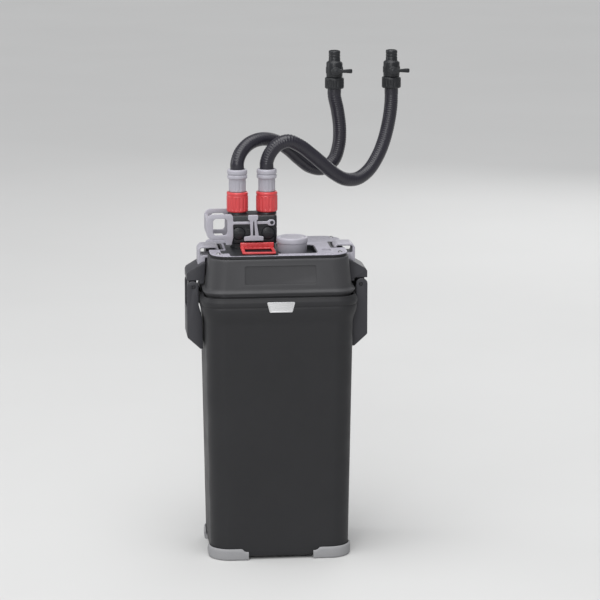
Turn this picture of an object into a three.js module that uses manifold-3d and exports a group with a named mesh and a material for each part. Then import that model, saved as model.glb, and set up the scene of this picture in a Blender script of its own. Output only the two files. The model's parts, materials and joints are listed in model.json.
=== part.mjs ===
// Canister filter: a drafted tank with a clamped motor head, a shut-off valve block with two
// hose connectors, and two ribbed hoses that end in quarter-turn taps.
// Millimetres, +Z up, +X to the right seen from the front, origin under the middle of the tank.
import * as THREE from 'three';
import { mergeVertices } from 'three/addons/utils/BufferGeometryUtils.js';
import Module from 'manifold-3d';

const wasm = await Module();
wasm.setup();

// ---------------------------------------------------------------- driving dimensions
const WALL = 4;
const GAP = 0.3;
const BODY_CORNER = 30;
const BODY_UNDERSIDE = 4;
const BODY_BASE = { w: 210, d: 160 };
const BODY_SHOULDER = { w: 222, d: 170 };
const COLLAR = { w: 235, d: 178 };
const SHOULDER_Z = 366;
const COLLAR_LOW_Z = 384;
const COLLAR_TOP_Z = 400;
const RIM_Z = 404;
const LEDGE_Z = 372;

const LID_FOOT_Z = 405.5;
const LID_LIP = { w: 228, d: 172 };
const LID_BASE = { w: 218, d: 165 };
const LID_TOP = { w: 208, d: 157 };
const LID_FLOOR_Z = 413;
const LID_TOP_Z = 461.3;
const COVER_STEP = { w: 200.2, d: 149.2, z: 458.9 };
const COVER = { w: 205.4, d: 154.4, z: 463.7, top: 467.5 };
const SPIGOT = { w: 216, d: 159 };
const SPIGOT_LOW_Z = 385;
const SEAL_Z = [388, 396];
const PORT_TUBE_R = 13.4;
const PORT_HOLE_R = 11.8;
const GLAND_Z = 440;
const GLAND_BORE_R = 3.6;

// The dark deck let into the top cover: floor areas as [x0, x1, y0, y1], and the tray for the primer.
const DECK_Z = [462, 466.6];
const DECK_FLOORS = [[-86, 2.5, -58, -29], [-77, 2.5, -58, 30], [-74, -3, -76.5, -50]];
const TRAY = { x0: 1, x1: 57.5, y0: -66, y1: 4, z: 457.5, wall: 1.5 };

const CLAMP_PIVOT = { x: 126, z: 412 };
const CLAMP_LINK = { x: 127.5, z: 397 };
const CLAMP_PIN_R = 2.3;
const CLAMP_HOLE_R = 2.6;
const LEVER_HALF = 31;
const CHEEK = 3;
const EAR_IN = 20;
const EAR_OUT = 25;
const HOOK_HALF = 17;
const SHOULDER_HALF = 27.6;
const POCKET = { x: 84, half: 22, z: 453.5 };

const PORT_X = [-57.5, -13.3];
const BORE_R = 7;
const VALVE = { x0: -69.5, x1: 0.5, half: 23, z0: 475, z1: 518 };
const BARREL_Z = 491;
const BARREL_R = 9.8;
const NECK_R = 12.2;
const VALVE_PIVOT = { x: -8, z: 507.5 };
const VALVE_STUB_R = 2.2;
const COLLAR_Z = [521, 551];
const NUT_Z = [551.3, 585];
const HOSE_R = 10.4;

const PRIMER = { x: 21.5, y: -35, r: 23.6, skirt: 22.2, z0: 479, z1: 487.5 };
const CYLINDER_R = 19.6;
const SKIRT_LOW_Z = 456;
const MOTOR = { x: 60, y: 36 };
const BASKET = { x: 25, w: 142, d: 142, h: 152 };
const BASKET_FLOOR_Z = [12, 168];
const MEDIA_H = 128;
const FOAM = { x: -73.5, w: 42, d: 136, z0: 12, z1: 330 };
const TAP_Y = 84;
const TAP_X = [98, 185.5];
const TAP_Z = 694;
const TAP_BORE_R = 6.3;
const SPINDLE_Z = 722;

// ---------------------------------------------------------------- materials
function plastic(hex, roughness) {
  return new THREE.MeshStandardMaterial({ color: hex, roughness, metalness: 0 });
}

function metal(hex, roughness) {
  return new THREE.MeshStandardMaterial({ color: hex, roughness, metalness: 1 });
}

const tankPlastic = plastic(0x3a3a3e, 0.5);
const lidPlastic = plastic(0x48484c, 0.45);
const blackPlastic = plastic(0x16171a, 0.4);
const clampPlastic = plastic(0x3c3c42, 0.45);
const greyPlastic = plastic(0xa9a8b2, 0.5);
const coverPlastic = plastic(0x8f8e99, 0.5);
const redPlastic = plastic(0xbe373c, 0.35);
const bootRubber = plastic(0x969698, 0.8);
const sealRubber = plastic(0x202022, 0.85);
const hoseRubber = plastic(0x232130, 0.45);
const foamBlue = plastic(0x3d5a78, 0.95);
const mediaWhite = plastic(0xd8d4ca, 0.9);
const innerPlastic = plastic(0x55555a, 0.55);
const ceramicWhite = plastic(0xe8e6e0, 0.3);
const silver = metal(0xd8d8da, 0.3);
const steel = metal(0xa8a8ac, 0.3);
const laminations = metal(0x6c6a66, 0.5);
const copper = metal(0xb06a3c, 0.4);
const magnetBlack = plastic(0x2a2826, 0.4);

// ---------------------------------------------------------------- solids
function toManifold(geometry) {
  const bare = geometry.clone();
  bare.deleteAttribute('normal');
  bare.deleteAttribute('uv');
  const merged = mergeVertices(bare);
  const index = Array.from(merged.index.array);
  const faces = [];
  for (let i = 0; i < index.length; i += 3) {
    const [a, b, c] = index.slice(i, i + 3);
    if (a !== b && b !== c && c !== a) faces.push(a, b, c);
  }
  const mesh = new wasm.Mesh({
    numProp: 3,
    vertProperties: new Float32Array(merged.attributes.position.array),
    triVerts: new Uint32Array(faces),
  });
  return new wasm.Manifold(mesh);
}

function toGeometry(manifold) {
  const mesh = manifold.getMesh();
  const geometry = new THREE.BufferGeometry();
  geometry.setAttribute('position', new THREE.BufferAttribute(new Float32Array(mesh.vertProperties), 3));
  geometry.setIndex(new THREE.BufferAttribute(new Uint32Array(mesh.triVerts), 1));
  return geometry;
}

function join(...shapes) {
  return toGeometry(shapes.map(toManifold).reduce((whole, next) => whole.add(next)));
}

function cut(base, ...tools) {
  return toGeometry(tools.map(toManifold).reduce((left, tool) => left.subtract(tool), toManifold(base)));
}

function overlap(first, second) {
  return toGeometry(toManifold(first).intersect(toManifold(second)));
}

// ---------------------------------------------------------------- outlines and blanks
function roundedOutline(w, d, r, x = 0, y = 0) {
  const shape = new THREE.Shape();
  shape.absarc(x + w / 2 - r, y + d / 2 - r, r, 0, Math.PI / 2);
  shape.absarc(x - w / 2 + r, y + d / 2 - r, r, Math.PI / 2, Math.PI);
  shape.absarc(x - w / 2 + r, y - d / 2 + r, r, Math.PI, 1.5 * Math.PI);
  shape.absarc(x + w / 2 - r, y - d / 2 + r, r, 1.5 * Math.PI, 2 * Math.PI);
  return shape;
}

function prism(shape, z0, z1, curveSegments = 2) {
  const depth = z1 - z0;
  return new THREE.ExtrudeGeometry(shape, { depth, bevelEnabled: false, curveSegments }).translate(0, 0, z0);
}

// A rounded-rectangle column whose width and depth change from level to level: [z, width, depth].
function column(levels, cornerRadius) {
  const [, w, d] = levels[0];
  const steps = levels.length - 1;
  const options = { depth: steps, steps, bevelEnabled: false, curveSegments: 3 };
  const geometry = new THREE.ExtrudeGeometry(roundedOutline(w, d, cornerRadius), options);
  const position = geometry.attributes.position;
  for (let i = 0; i < position.count; i += 1) {
    const [z, levelW, levelD] = levels[Math.round(position.getZ(i))];
    const x = position.getX(i);
    const y = position.getY(i);
    const outX = Math.sign(x) * (levelW - w) / 2;
    const outY = Math.sign(y) * (levelD - d) / 2;
    position.setXYZ(i, x + outX, y + outY, z);
  }
  return geometry;
}

function box(x0, x1, y0, y1, z0, z1) {
  const geometry = new THREE.BoxGeometry(x1 - x0, y1 - y0, z1 - z0);
  return geometry.translate((x0 + x1) / 2, (y0 + y1) / 2, (z0 + z1) / 2);
}

// A turned piece about a vertical axis, from [radius, height] points listed counter-clockwise.
function turned(profile, x = 0, y = 0, sides = 24) {
  const points = profile.map(([r, z]) => new THREE.Vector2(r, z));
  return new THREE.LatheGeometry(points, sides).rotateX(Math.PI / 2).translate(x, y, 0);
}

function rod(r, z0, z1, x = 0, y = 0, sides = 20) {
  return turned([[0, z0], [r, z0], [r, z1], [0, z1]], x, y, sides);
}

function sleeve(outer, inner, z0, z1, x = 0, y = 0, sides = 20) {
  return turned([[inner, z0], [outer, z0], [outer, z1], [inner, z1], [inner, z0]], x, y, sides);
}

// A cylinder along Y, centred on (x, z).
function crossRod(r, y0, y1, x, z, sides = 16) {
  return new THREE.CylinderGeometry(r, r, y1 - y0, sides).translate(x, (y0 + y1) / 2, z);
}

// A plate in the XZ plane, from y0 to y1.
function plate(shape, y0, y1, curveSegments = 2) {
  const options = { depth: y1 - y0, bevelEnabled: false, curveSegments };
  return new THREE.ExtrudeGeometry(shape, options).rotateX(Math.PI / 2).translate(0, y1, 0);
}

function polygon(points, side = 1) {
  return new THREE.Shape(points.map(([x, z]) => new THREE.Vector2(side * x, z)));
}

// ---------------------------------------------------------------- the assembly
const filter = new THREE.Group();

function add(name, geometry, material) {
  const mesh = new THREE.Mesh(geometry, material);
  mesh.name = name;
  filter.add(mesh);
}

// ---------------------------------------------------------------- tank
// An ear on the collar whose stub pin carries one cheek of a clamp lever.
function clampEar(side, front) {
  const root = [[116, 386], [121.5, 390], [122, 398], [130.4, 408], [121, 415], [117.2, 403], [116, 403]];
  const [y0, y1] = front ? [-EAR_OUT, -EAR_IN] : [EAR_IN, EAR_OUT];
  const [pin0, pin1] = front ? [-LEVER_HALF, -EAR_IN] : [EAR_IN, LEVER_HALF];
  const head = crossRod(6, y0, y1, side * CLAMP_PIVOT.x, CLAMP_PIVOT.z);
  const pin = crossRod(CLAMP_PIN_R, pin0, pin1, side * CLAMP_PIVOT.x, CLAMP_PIVOT.z, 12);
  return join(plate(polygon(root, side), y0, y1), head, pin);
}

function tankBody() {
  const outside = column([
    [BODY_UNDERSIDE, BODY_BASE.w - 8, BODY_BASE.d - 8],
    [BODY_UNDERSIDE + 5, BODY_BASE.w, BODY_BASE.d],
    [SHOULDER_Z, BODY_SHOULDER.w, BODY_SHOULDER.d],
    [COLLAR_LOW_Z, COLLAR.w, COLLAR.d],
    [COLLAR_TOP_Z, COLLAR.w, COLLAR.d],
    [RIM_Z, COLLAR.w - 6, COLLAR.d - 6],
  ], BODY_CORNER);
  const inside = column([
    [BODY_UNDERSIDE + WALL + 1, BODY_BASE.w - 2 * WALL, BODY_BASE.d - 2 * WALL],
    [LEDGE_Z, BODY_SHOULDER.w - 2 * WALL, BODY_SHOULDER.d - 2 * WALL],
    [LEDGE_Z + 4, BODY_SHOULDER.w, BODY_SHOULDER.d - 4],
    [RIM_Z + 1, BODY_SHOULDER.w, BODY_SHOULDER.d - 4],
  ], BODY_CORNER - WALL);
  const badgePocket = box(-21.6, 21.6, -COLLAR.d / 2 - 1, -COLLAR.d / 2 + 1.7, 382.4, 399);
  const ears = [];
  for (const side of [-1, 1]) {
    ears.push(clampEar(side, true), clampEar(side, false));
  }
  return join(cut(outside, inside, badgePocket), ...ears);
}

function cornerBoot(sideX, sideY) {
  const block = column([[0, 211, 161], [15, 216, 166], [18, 215, 165]], BODY_CORNER + 2);
  const tank = column([
    [BODY_UNDERSIDE - GAP, BODY_BASE.w - 7.4, BODY_BASE.d - 7.4],
    [BODY_UNDERSIDE + 5, BODY_BASE.w + 0.7, BODY_BASE.d + 0.7],
    [30, BODY_BASE.w + 1.5, BODY_BASE.d + 1.3],
  ], BODY_CORNER);
  const middle = column([[-1, 150, 100], [5, 150, 100]], 10);
  const nearX = sideX > 0 ? [49, 120] : [-120, -49];
  const nearY = sideY > 0 ? [36, 100] : [-100, -36];
  const corner = box(...nearX, ...nearY, -1, 31);
  return overlap(cut(block, tank, middle), corner);
}

add('canister_body', tankBody(), tankPlastic);
for (const [end, sideY] of [['front', -1], ['rear', 1]]) {
  for (const [hand, sideX] of [['left', -1], ['right', 1]]) {
    add(`foot_boot_${end}_${hand}`, cornerBoot(sideX, sideY), bootRubber);
  }
}

const badgeFace = polygon([[-21, 398.5], [-17, 383], [17, 383], [21, 398.5]]);
add('badge_plate', plate(badgeFace, -COLLAR.d / 2, -COLLAR.d / 2 + 1.4), silver);

// ---------------------------------------------------------------- motor head
function headHousing() {
  const shell = column([
    [LID_FOOT_Z, LID_LIP.w - 3, LID_LIP.d - 3],
    [LID_FOOT_Z + 2.5, LID_LIP.w, LID_LIP.d],
    [LID_FOOT_Z + 5, LID_LIP.w - 2, LID_LIP.d - 2],
    [LID_FOOT_Z + 6, LID_BASE.w, LID_BASE.d],
    [LID_TOP_Z - 2, LID_TOP.w + 0.6, LID_TOP.d + 0.5],
    [LID_TOP_Z, LID_TOP.w - 2, LID_TOP.d - 2],
  ], BODY_CORNER);
  const cavity = column([
    [LID_FLOOR_Z + WALL, LID_BASE.w - 8, LID_BASE.d - 8],
    [LID_TOP_Z - 3, LID_TOP.w - 7, LID_TOP.d - 7],
    [LID_TOP_Z + 1, LID_TOP.w - 7, LID_TOP.d - 7],
  ], BODY_CORNER - WALL);
  const [seal0, seal1] = [SEAL_Z[0] - 0.5, SEAL_Z[1] + 0.5];
  const spigot = cut(
    column([[SPIGOT_LOW_Z, SPIGOT.w, SPIGOT.d], [LID_FOOT_Z + 1, SPIGOT.w, SPIGOT.d]], BODY_CORNER - 4),
    column([[seal0, SPIGOT.w + 9, SPIGOT.d + 9], [seal1, SPIGOT.w + 9, SPIGOT.d + 9]], BODY_CORNER),
  );
  const spigotCore = column([[SPIGOT_LOW_Z, SPIGOT.w - 4, SPIGOT.d - 4], [407, SPIGOT.w - 4, SPIGOT.d - 4]], 24);
  const below = column([[380, SPIGOT.w - 12, SPIGOT.d - 12], [LID_FLOOR_Z, SPIGOT.w - 12, SPIGOT.d - 12]], 20);
  const liners = [];
  const pockets = [];
  for (const side of [-1, 1]) {
    const [x0, x1] = side < 0 ? [-102, -POCKET.x + 3] : [POCKET.x - 3, 102];
    const [p0, p1] = side < 0 ? [-130, -POCKET.x] : [POCKET.x, 130];
    liners.push(box(x0, x1, -POCKET.half - 3, POCKET.half + 3, POCKET.z - 4, COVER.top));
    pockets.push(box(p0, p1, -POCKET.half, POCKET.half, POCKET.z, COVER.top + 1));
  }
  const tubes = PORT_X.map((x) => rod(PORT_TUBE_R, LID_FLOOR_Z + 1, COVER_STEP.z - GAP, x, 0));
  const ports = PORT_X.map((x) => rod(11, 400, 470, x, 0));
  const primerPort = rod(4, 400, 430, PRIMER.x, PRIMER.y);
  const motorPort = rod(15.4, 400, 430, MOTOR.x, MOTOR.y);
  const cordHole = crossRod(6.3, 60, 100, MOTOR.x, GLAND_Z);
  const hollow = cut(join(cut(join(shell, spigot, spigotCore), cavity, below), ...liners, ...tubes), ...pockets);
  return cut(hollow, ...ports, primerPort, motorPort, cordHole);
}

function headSeal() {
  const [z0, z1] = SEAL_Z;
  const outer = column([[z0, 221.2, 165.2], [z1, 221.2, 165.2]], 27);
  const inner = column([[z0 - 1, SPIGOT.w - 3.4, SPIGOT.d - 3.4], [z1 + 1, SPIGOT.w - 3.4, SPIGOT.d - 3.4]], 24);
  return cut(outer, inner);
}

// The deck's floor areas and tray as blocks, grown sideways to make the hole that they fit in.
function deckBlocks(grow, z0, z1) {
  const areas = [...DECK_FLOORS, [TRAY.x0, TRAY.x1, TRAY.y0, TRAY.y1]];
  return areas.map(([x0, x1, y0, y1]) => box(x0 - grow, x1 + grow, y0 - grow, y1 + grow, z0, z1));
}

function topCover() {
  const step = column([[COVER_STEP.z, COVER_STEP.w, COVER_STEP.d], [COVER.z + 1, COVER_STEP.w, COVER_STEP.d]], 26);
  const plateBlank = column([
    [COVER.z, COVER.w - 2, COVER.d - 2],
    [COVER.z + 1, COVER.w, COVER.d],
    [COVER.top - 1, COVER.w, COVER.d],
    [COVER.top, COVER.w - 2, COVER.d - 2],
  ], BODY_CORNER - 2);
  const side = POCKET.x - 3 - GAP;
  const half = POCKET.half + 3 + GAP;
  return cut(
    join(step, plateBlank),
    box(-120, -side, -half, half, 450, 480),
    box(side, 120, -half, half, 450, 480),
    ...PORT_X.map((x) => rod(PORT_HOLE_R, 450, 480, x, 0)),
    ...deckBlocks(GAP, 450, 480),
    box(DECK_FLOORS[2][0] - GAP, DECK_FLOORS[2][1] + GAP, -90, -60, 450, 480),
  );
}

function headDeck() {
  const floors = deckBlocks(0, ...DECK_Z);
  const tray = box(TRAY.x0, TRAY.x1, TRAY.y0, TRAY.y1, TRAY.z, DECK_Z[1]);
  const pad = box(-66, -3, -19, 19, DECK_Z[0], COVER.top - 0.1);
  const room = box(
    TRAY.x0 + TRAY.wall,
    TRAY.x1 - TRAY.wall,
    TRAY.y0 + TRAY.wall,
    TRAY.y1 - TRAY.wall,
    TRAY.z + 2,
    COVER.top + 1,
  );
  const primerHole = rod(PRIMER.skirt + 0.6, 450, 480, PRIMER.x, PRIMER.y, 28);
  return cut(join(...floors, tray, pad), room, primerHole, ...PORT_X.map((x) => rod(PORT_HOLE_R, 450, 480, x, 0)));
}

add('motor_head_housing', headHousing(), lidPlastic);
add('motor_head_seal', headSeal(), sealRubber);
add('motor_head_top_cover', topCover(), coverPlastic);
add('motor_head_deck', headDeck(), blackPlastic);
add('cord_gland', cut(
  join(crossRod(6, 72.2, 83, MOTOR.x, GLAND_Z), crossRod(9, 82, 88.4, MOTOR.x, GLAND_Z, 6)),
  crossRod(GLAND_BORE_R, 70, 90, MOTOR.x, GLAND_Z),
), blackPlastic);

// ---------------------------------------------------------------- over-centre clamps
function clampLever(side) {
  const profile = [
    [118.8, 410], [118.8, 383], [113.5, 364], [112.6, 318], [114, 317], [136, 336], [136, 412],
  ];
  const head = (y0, y1) => crossRod(9, y0, y1, side * CLAMP_PIVOT.x, CLAMP_PIVOT.z);
  const cheek = (y0, y1) => join(plate(polygon(profile, side), y0, y1), head(y0, y1));
  const face = polygon([[133, 374], [133, 339], [117, 325.5], [117, 320.2], [136, 336], [136, 376]], side);
  return cut(
    join(
      cheek(LEVER_HALF - CHEEK, LEVER_HALF),
      cheek(-LEVER_HALF, CHEEK - LEVER_HALF),
      plate(face, -LEVER_HALF + 1, LEVER_HALF - 1),
    ),
    crossRod(CLAMP_HOLE_R, -40, 40, side * CLAMP_PIVOT.x, CLAMP_PIVOT.z),
    crossRod(CLAMP_HOLE_R, -40, 40, side * CLAMP_LINK.x, CLAMP_LINK.z),
  );
}

// A hook: an open loop over the head's shoulder on an arm, with a broad shoulder cover round the arm.
function clampHook(side) {
  const outline = polygon([
    [122.5, 397], [122.5, 421], [107.5, 446], [107.5, 454], [87, 454], [87, 467], [92, 472],
    [113, 472], [118.5, 466], [118.5, 448], [133, 425], [133, 397],
  ], side);
  outline.holes.push(polygon([[91, 457.6], [114.6, 457.6], [114.6, 468.4], [91, 468.4]], side));
  const roof = polygon([
    [107.8, 448], [111, 448.6], [134.2, 434.6], [136, 431], [136, 421.5], [133, 421.5], [133, 430.5],
    [110.5, 444.8], [108, 444.8],
  ], side);
  const wing = polygon([
    [107.8, 448], [111, 448.6], [134.2, 434.6], [136, 431], [136, 421.5], [117, 421.5], [116.4, 416.4],
    [110.4, 416.4],
  ], side);
  const eye = crossRod(5.5, -HOOK_HALF, HOOK_HALF, side * CLAMP_LINK.x, CLAMP_LINK.z);
  const hole = crossRod(CLAMP_HOLE_R, -40, 40, side * CLAMP_LINK.x, CLAMP_LINK.z);
  const arm = cut(join(plate(outline, -HOOK_HALF, HOOK_HALF), eye), hole);
  return join(
    arm,
    plate(roof, -SHOULDER_HALF, SHOULDER_HALF),
    plate(wing, SHOULDER_HALF - 2.2, SHOULDER_HALF),
    plate(wing, -SHOULDER_HALF, 2.2 - SHOULDER_HALF),
  );
}

for (const [hand, side] of [['left', -1], ['right', 1]]) {
  const linkPin = crossRod(CLAMP_PIN_R, -30.5, 30.5, side * CLAMP_LINK.x, CLAMP_LINK.z, 12);
  add(`clamp_lever_${hand}`, clampLever(side), clampPlastic);
  add(`clamp_hook_${hand}`, clampHook(side), greyPlastic);
  add(`clamp_link_pin_${hand}`, linkPin, steel);
}

// ---------------------------------------------------------------- shut-off valve
function valveBody() {
  const width = VALVE.x1 - VALVE.x0;
  const centre = (VALVE.x0 + VALVE.x1) / 2;
  const block = prism(roundedOutline(width, 2 * VALVE.half, 5, centre, 0), VALVE.z0, VALVE.z1);
  const foot = prism(roundedOutline(width - 6, 2 * VALVE.half - 6, 4, centre, 0), 468, VALVE.z0);
  const stubs = crossRod(VALVE_STUB_R, -VALVE.half - 5.5, VALVE.half + 5.5, VALVE_PIVOT.x, VALVE_PIVOT.z);
  const necks = PORT_X.map((x) => rod(NECK_R, VALVE.z1 - 1, 549, x, 0));
  const spigots = PORT_X.map((x) => rod(9.5, 452, 469, x, 0));
  const bores = PORT_X.map((x) => rod(BORE_R, 440, 560, x, 0));
  const sockets = PORT_X.map((x) => rod(8.7, 505, 560, x, 0));
  const barrels = PORT_X.map((x) => crossRod(BARREL_R + 0.4, -40, 40, x, BARREL_Z));
  return cut(join(block, foot, stubs, ...necks, ...spigots), ...bores, ...sockets, ...barrels);
}

function valveBarrel(x) {
  const drum = crossRod(BARREL_R, -VALVE.half + 0.4, VALVE.half - 0.4, x, BARREL_Z);
  return cut(drum, rod(6.8, 470, 510, x, 0, 20));
}

function valveLever() {
  const loop = roundedOutline(40, 38, 9, -86, 502);
  loop.holes.push(roundedOutline(21, 25, 5, -85.5, 502));
  const bar = polygon([[-70, 505.5], [-8, 505.5], [-8, 509.5], [-70, 509.5]]);
  const heel = polygon([[-78, 474.5], [-68, 474.5], [-68, 488], [-74, 488]]);
  const arm = (y0, y1) => join(
    plate(loop, y0, y1),
    plate(bar, y0, y1),
    plate(heel, y0, y1),
    crossRod(4.6, y0, y1, VALVE_PIVOT.x, VALVE_PIVOT.z),
  );
  const grip = box(-106, -100, -26, 26, 489, 515);
  const pivot = crossRod(VALVE_STUB_R + GAP, -40, 40, VALVE_PIVOT.x, VALVE_PIVOT.z);
  return cut(join(arm(-27.6, -24.4), arm(24.4, 27.6), grip), pivot);
}

function valveClasp() {
  const stem = polygon([[-50, 481], [-21, 481], [-21, 487], [-27, 488], [-31, 512], [-29, 513], [-29, 520],
    [-44, 520], [-44, 513], [-40, 512], [-39, 488], [-50, 487]]);
  const foot = box(-48, -23, -29, -VALVE.half - GAP, 481, 486);
  return join(plate(stem, -31.8, -28.6), foot);
}

// A red frame that slides in front of the valve block, with an upright lip along its back bar.
function valveLatch() {
  const tab = box(-55.5, -5.5, -70, -VALVE.half - GAP - 0.4, 467.9, 470.6);
  const window = box(-50.5, -10, -65.5, -31, 460, 480);
  const lip = box(-55.5, -5.5, -30, -26.4, 470, 478);
  return join(cut(tab, window), lip);
}

add('valve_body', valveBody(), blackPlastic);
add('valve_lever', valveLever(), greyPlastic);
add('valve_clasp', valveClasp(), greyPlastic);
add('valve_latch', valveLatch(), redPlastic);
PORT_X.forEach((x, i) => {
  const label = i === 0 ? 'inlet' : 'outlet';
  add(`${label}_valve_barrel`, valveBarrel(x), blackPlastic);
  add(`${label}_hose_nozzle`, sleeve(8.3, 6.4, 505.4, 581, x, 0), blackPlastic);
  add(`${label}_lock_collar`, turned([
    [NECK_R + 0.5, COLLAR_Z[0]], [15.2, COLLAR_Z[0]], [16.2, COLLAR_Z[0] + 2], [16.2, COLLAR_Z[1] - 3],
    [15, COLLAR_Z[1]], [NECK_R + 0.5, COLLAR_Z[1]], [NECK_R + 0.5, COLLAR_Z[0]],
  ], x, 0), redPlastic);
  add(`${label}_hose_nut`, turned([
    [8.7, NUT_Z[0]], [12.6, NUT_Z[0]], [12.6, 571], [15, 572], [15, 577], [14.2, 578], [15, 579],
    [15, NUT_Z[1]], [10.8, NUT_Z[1]], [10.8, 584], [8.7, 584], [8.7, NUT_Z[0]],
  ], x, 0), greyPlastic);
});

// ---------------------------------------------------------------- priming pump
function primerButton() {
  return turned([
    [0, PRIMER.z0 + 2], [PRIMER.skirt - 2, PRIMER.z0 + 2], [PRIMER.skirt - 2, SKIRT_LOW_Z],
    [PRIMER.skirt, SKIRT_LOW_Z], [PRIMER.skirt, PRIMER.z0],
    [PRIMER.r - 0.8, PRIMER.z0], [PRIMER.r, PRIMER.z0 + 1.5], [PRIMER.r, PRIMER.z1 - 2.2],
    [PRIMER.r - 2.2, PRIMER.z1], [0, PRIMER.z1],
  ], PRIMER.x, PRIMER.y, 28);
}

function primerSpring() {
  class Coil extends THREE.Curve {
    getPoint(t, target = new THREE.Vector3()) {
      const angle = t * 2 * Math.PI * 5;
      return target.set(PRIMER.x + 12 * Math.cos(angle), PRIMER.y + 12 * Math.sin(angle), 419.4 + 15.6 * t);
    }
  }
  const wire = new THREE.Shape().absarc(0, 0, 0.8, 0, 2 * Math.PI);
  return new THREE.ExtrudeGeometry(wire, { extrudePath: new Coil(), steps: 44, curveSegments: 3 });
}

add('primer_button', primerButton(), greyPlastic);
add('primer_plunger', join(
  rod(4, 440, PRIMER.z0 + 1.7, PRIMER.x, PRIMER.y, 16),
  rod(16.6, 436.4, 441.4, PRIMER.x, PRIMER.y),
), innerPlastic);
add('primer_cylinder', sleeve(CYLINDER_R, 17, LID_FLOOR_Z + WALL + GAP, 454, PRIMER.x, PRIMER.y), innerPlastic);
add('primer_spring', primerSpring(), steel);

// ---------------------------------------------------------------- pump motor
function statorCore() {
  const outline = roundedOutline(56, 46, 3, MOTOR.x, MOTOR.y);
  return cut(prism(outline, 421, 449), rod(16, 420, 450, MOTOR.x, MOTOR.y));
}

function impeller() {
  const blades = [];
  for (let i = 0; i < 6; i += 1) {
    const blade = box(3, 20, -0.9, 0.9, 394.5, 404).rotateZ(i * Math.PI / 3);
    blades.push(blade.translate(MOTOR.x, MOTOR.y, 0));
  }
  const hub = rod(6, 393.5, 408, MOTOR.x, MOTOR.y, 20);
  const disc = rod(11, 403, 408, MOTOR.x, MOTOR.y);
  return cut(join(hub, disc, ...blades), rod(1.9, 380, 420, MOTOR.x, MOTOR.y, 12));
}

add('motor_stator', statorCore(), laminations);
add('motor_coil', box(MOTOR.x - 24, MOTOR.x + 24, 5, MOTOR.y - 23.4, 423, 447), copper);
add('impeller_well', turned([
  [13.2, 409.5], [19, 409.5], [19, LID_FLOOR_Z - GAP], [15, LID_FLOOR_Z - GAP], [15, 455], [0, 455],
  [0, 453], [13.2, 453], [13.2, 409.5],
], MOTOR.x, MOTOR.y), innerPlastic);
add('rotor_magnet', sleeve(12.4, 1.9, 408.4, 446, MOTOR.x, MOTOR.y, 24), magnetBlack);
add('impeller', impeller(), innerPlastic);
add('impeller_shaft', rod(1.6, 390.4, 450, MOTOR.x, MOTOR.y, 12), ceramicWhite);
add('upper_shaft_bush', sleeve(5, 1.9, 447, 451, MOTOR.x, MOTOR.y, 16), sealRubber);
add('lower_shaft_bush', sleeve(5, 1.9, 390, 392.8, MOTOR.x, MOTOR.y, 16), sealRubber);
const intakeSlots = [];
for (let i = 0; i < 6; i += 1) {
  const slot = box(7, 15, -2.4, 2.4, 380, 392).rotateZ((i + 0.5) * Math.PI / 3);
  intakeSlots.push(slot.translate(MOTOR.x, MOTOR.y, 0));
}
add('impeller_cover', cut(turned([
  [0, 386.5], [29, 386.5], [29, LID_FLOOR_Z - GAP], [26, LID_FLOOR_Z - GAP], [26, 389.6], [0, 389.6],
], MOTOR.x, MOTOR.y), ...intakeSlots), innerPlastic);

// ---------------------------------------------------------------- filter media
function mediaBasket(z) {
  const blank = column([[z, BASKET.w - 2, BASKET.d - 2], [z + BASKET.h, BASKET.w, BASKET.d]], 18);
  const room = column([[z + 3, BASKET.w - 7, BASKET.d - 7], [z + BASKET.h + 1, BASKET.w - 5, BASKET.d - 5]], 16);
  const slots = [];
  for (let row = -2; row <= 2; row += 1) {
    for (const columnX of [-32, 32]) {
      slots.push(box(columnX - 26, columnX + 26, row * 24 - 4, row * 24 + 4, z - 1, z + 4));
    }
  }
  return cut(blank, room, ...slots).translate(BASKET.x, 0, 0);
}

function mediaBlock(z) {
  const side = BASKET.w - 12;
  return column([[z + 3.5, side, side], [z + MEDIA_H, side, side]], 14).translate(BASKET.x, 0, 0);
}

BASKET_FLOOR_Z.forEach((z, i) => {
  const level = i === 0 ? 'lower' : 'upper';
  add(`${level}_media_basket`, mediaBasket(z), innerPlastic);
  add(`${level}_filter_media`, mediaBlock(z), i === 0 ? mediaWhite : foamBlue);
});

const basketTop = BASKET_FLOOR_Z[1] + BASKET.h + GAP;
const coverSlots = [];
for (let row = -3; row <= 3; row += 1) {
  coverSlots.push(box(BASKET.x - 50, BASKET.x + 50, row * 17 - 3, row * 17 + 3, basketTop - 1, basketTop + 6));
}
const basketLid = column([[basketTop, BASKET.w, BASKET.d], [basketTop + 4, BASKET.w, BASKET.d]], 18);
add('basket_cover', cut(basketLid.translate(BASKET.x, 0, 0), ...coverSlots), innerPlastic);
const handleLoop = roundedOutline(70, 26, 6, BASKET.x, basketTop + 17.3);
handleLoop.holes.push(roundedOutline(58, 16, 4, BASKET.x, basketTop + 17.3));
add('basket_lift_handle', plate(handleLoop, -4, 4), redPlastic);

const frameBlank = column([[FOAM.z0, FOAM.w, FOAM.d], [FOAM.z1, FOAM.w, FOAM.d]], 8).translate(FOAM.x, 0, 0);
add('foam_frame', cut(frameBlank, box(FOAM.x - 40, FOAM.x + 40, -61, 61, FOAM.z0 + 6, FOAM.z1 - 6)), innerPlastic);
add('foam_pad', box(FOAM.x - 20, FOAM.x + 20, -60.4, 60.4, FOAM.z0 + 6.4, FOAM.z1 - 6.4), foamBlue);

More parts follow.
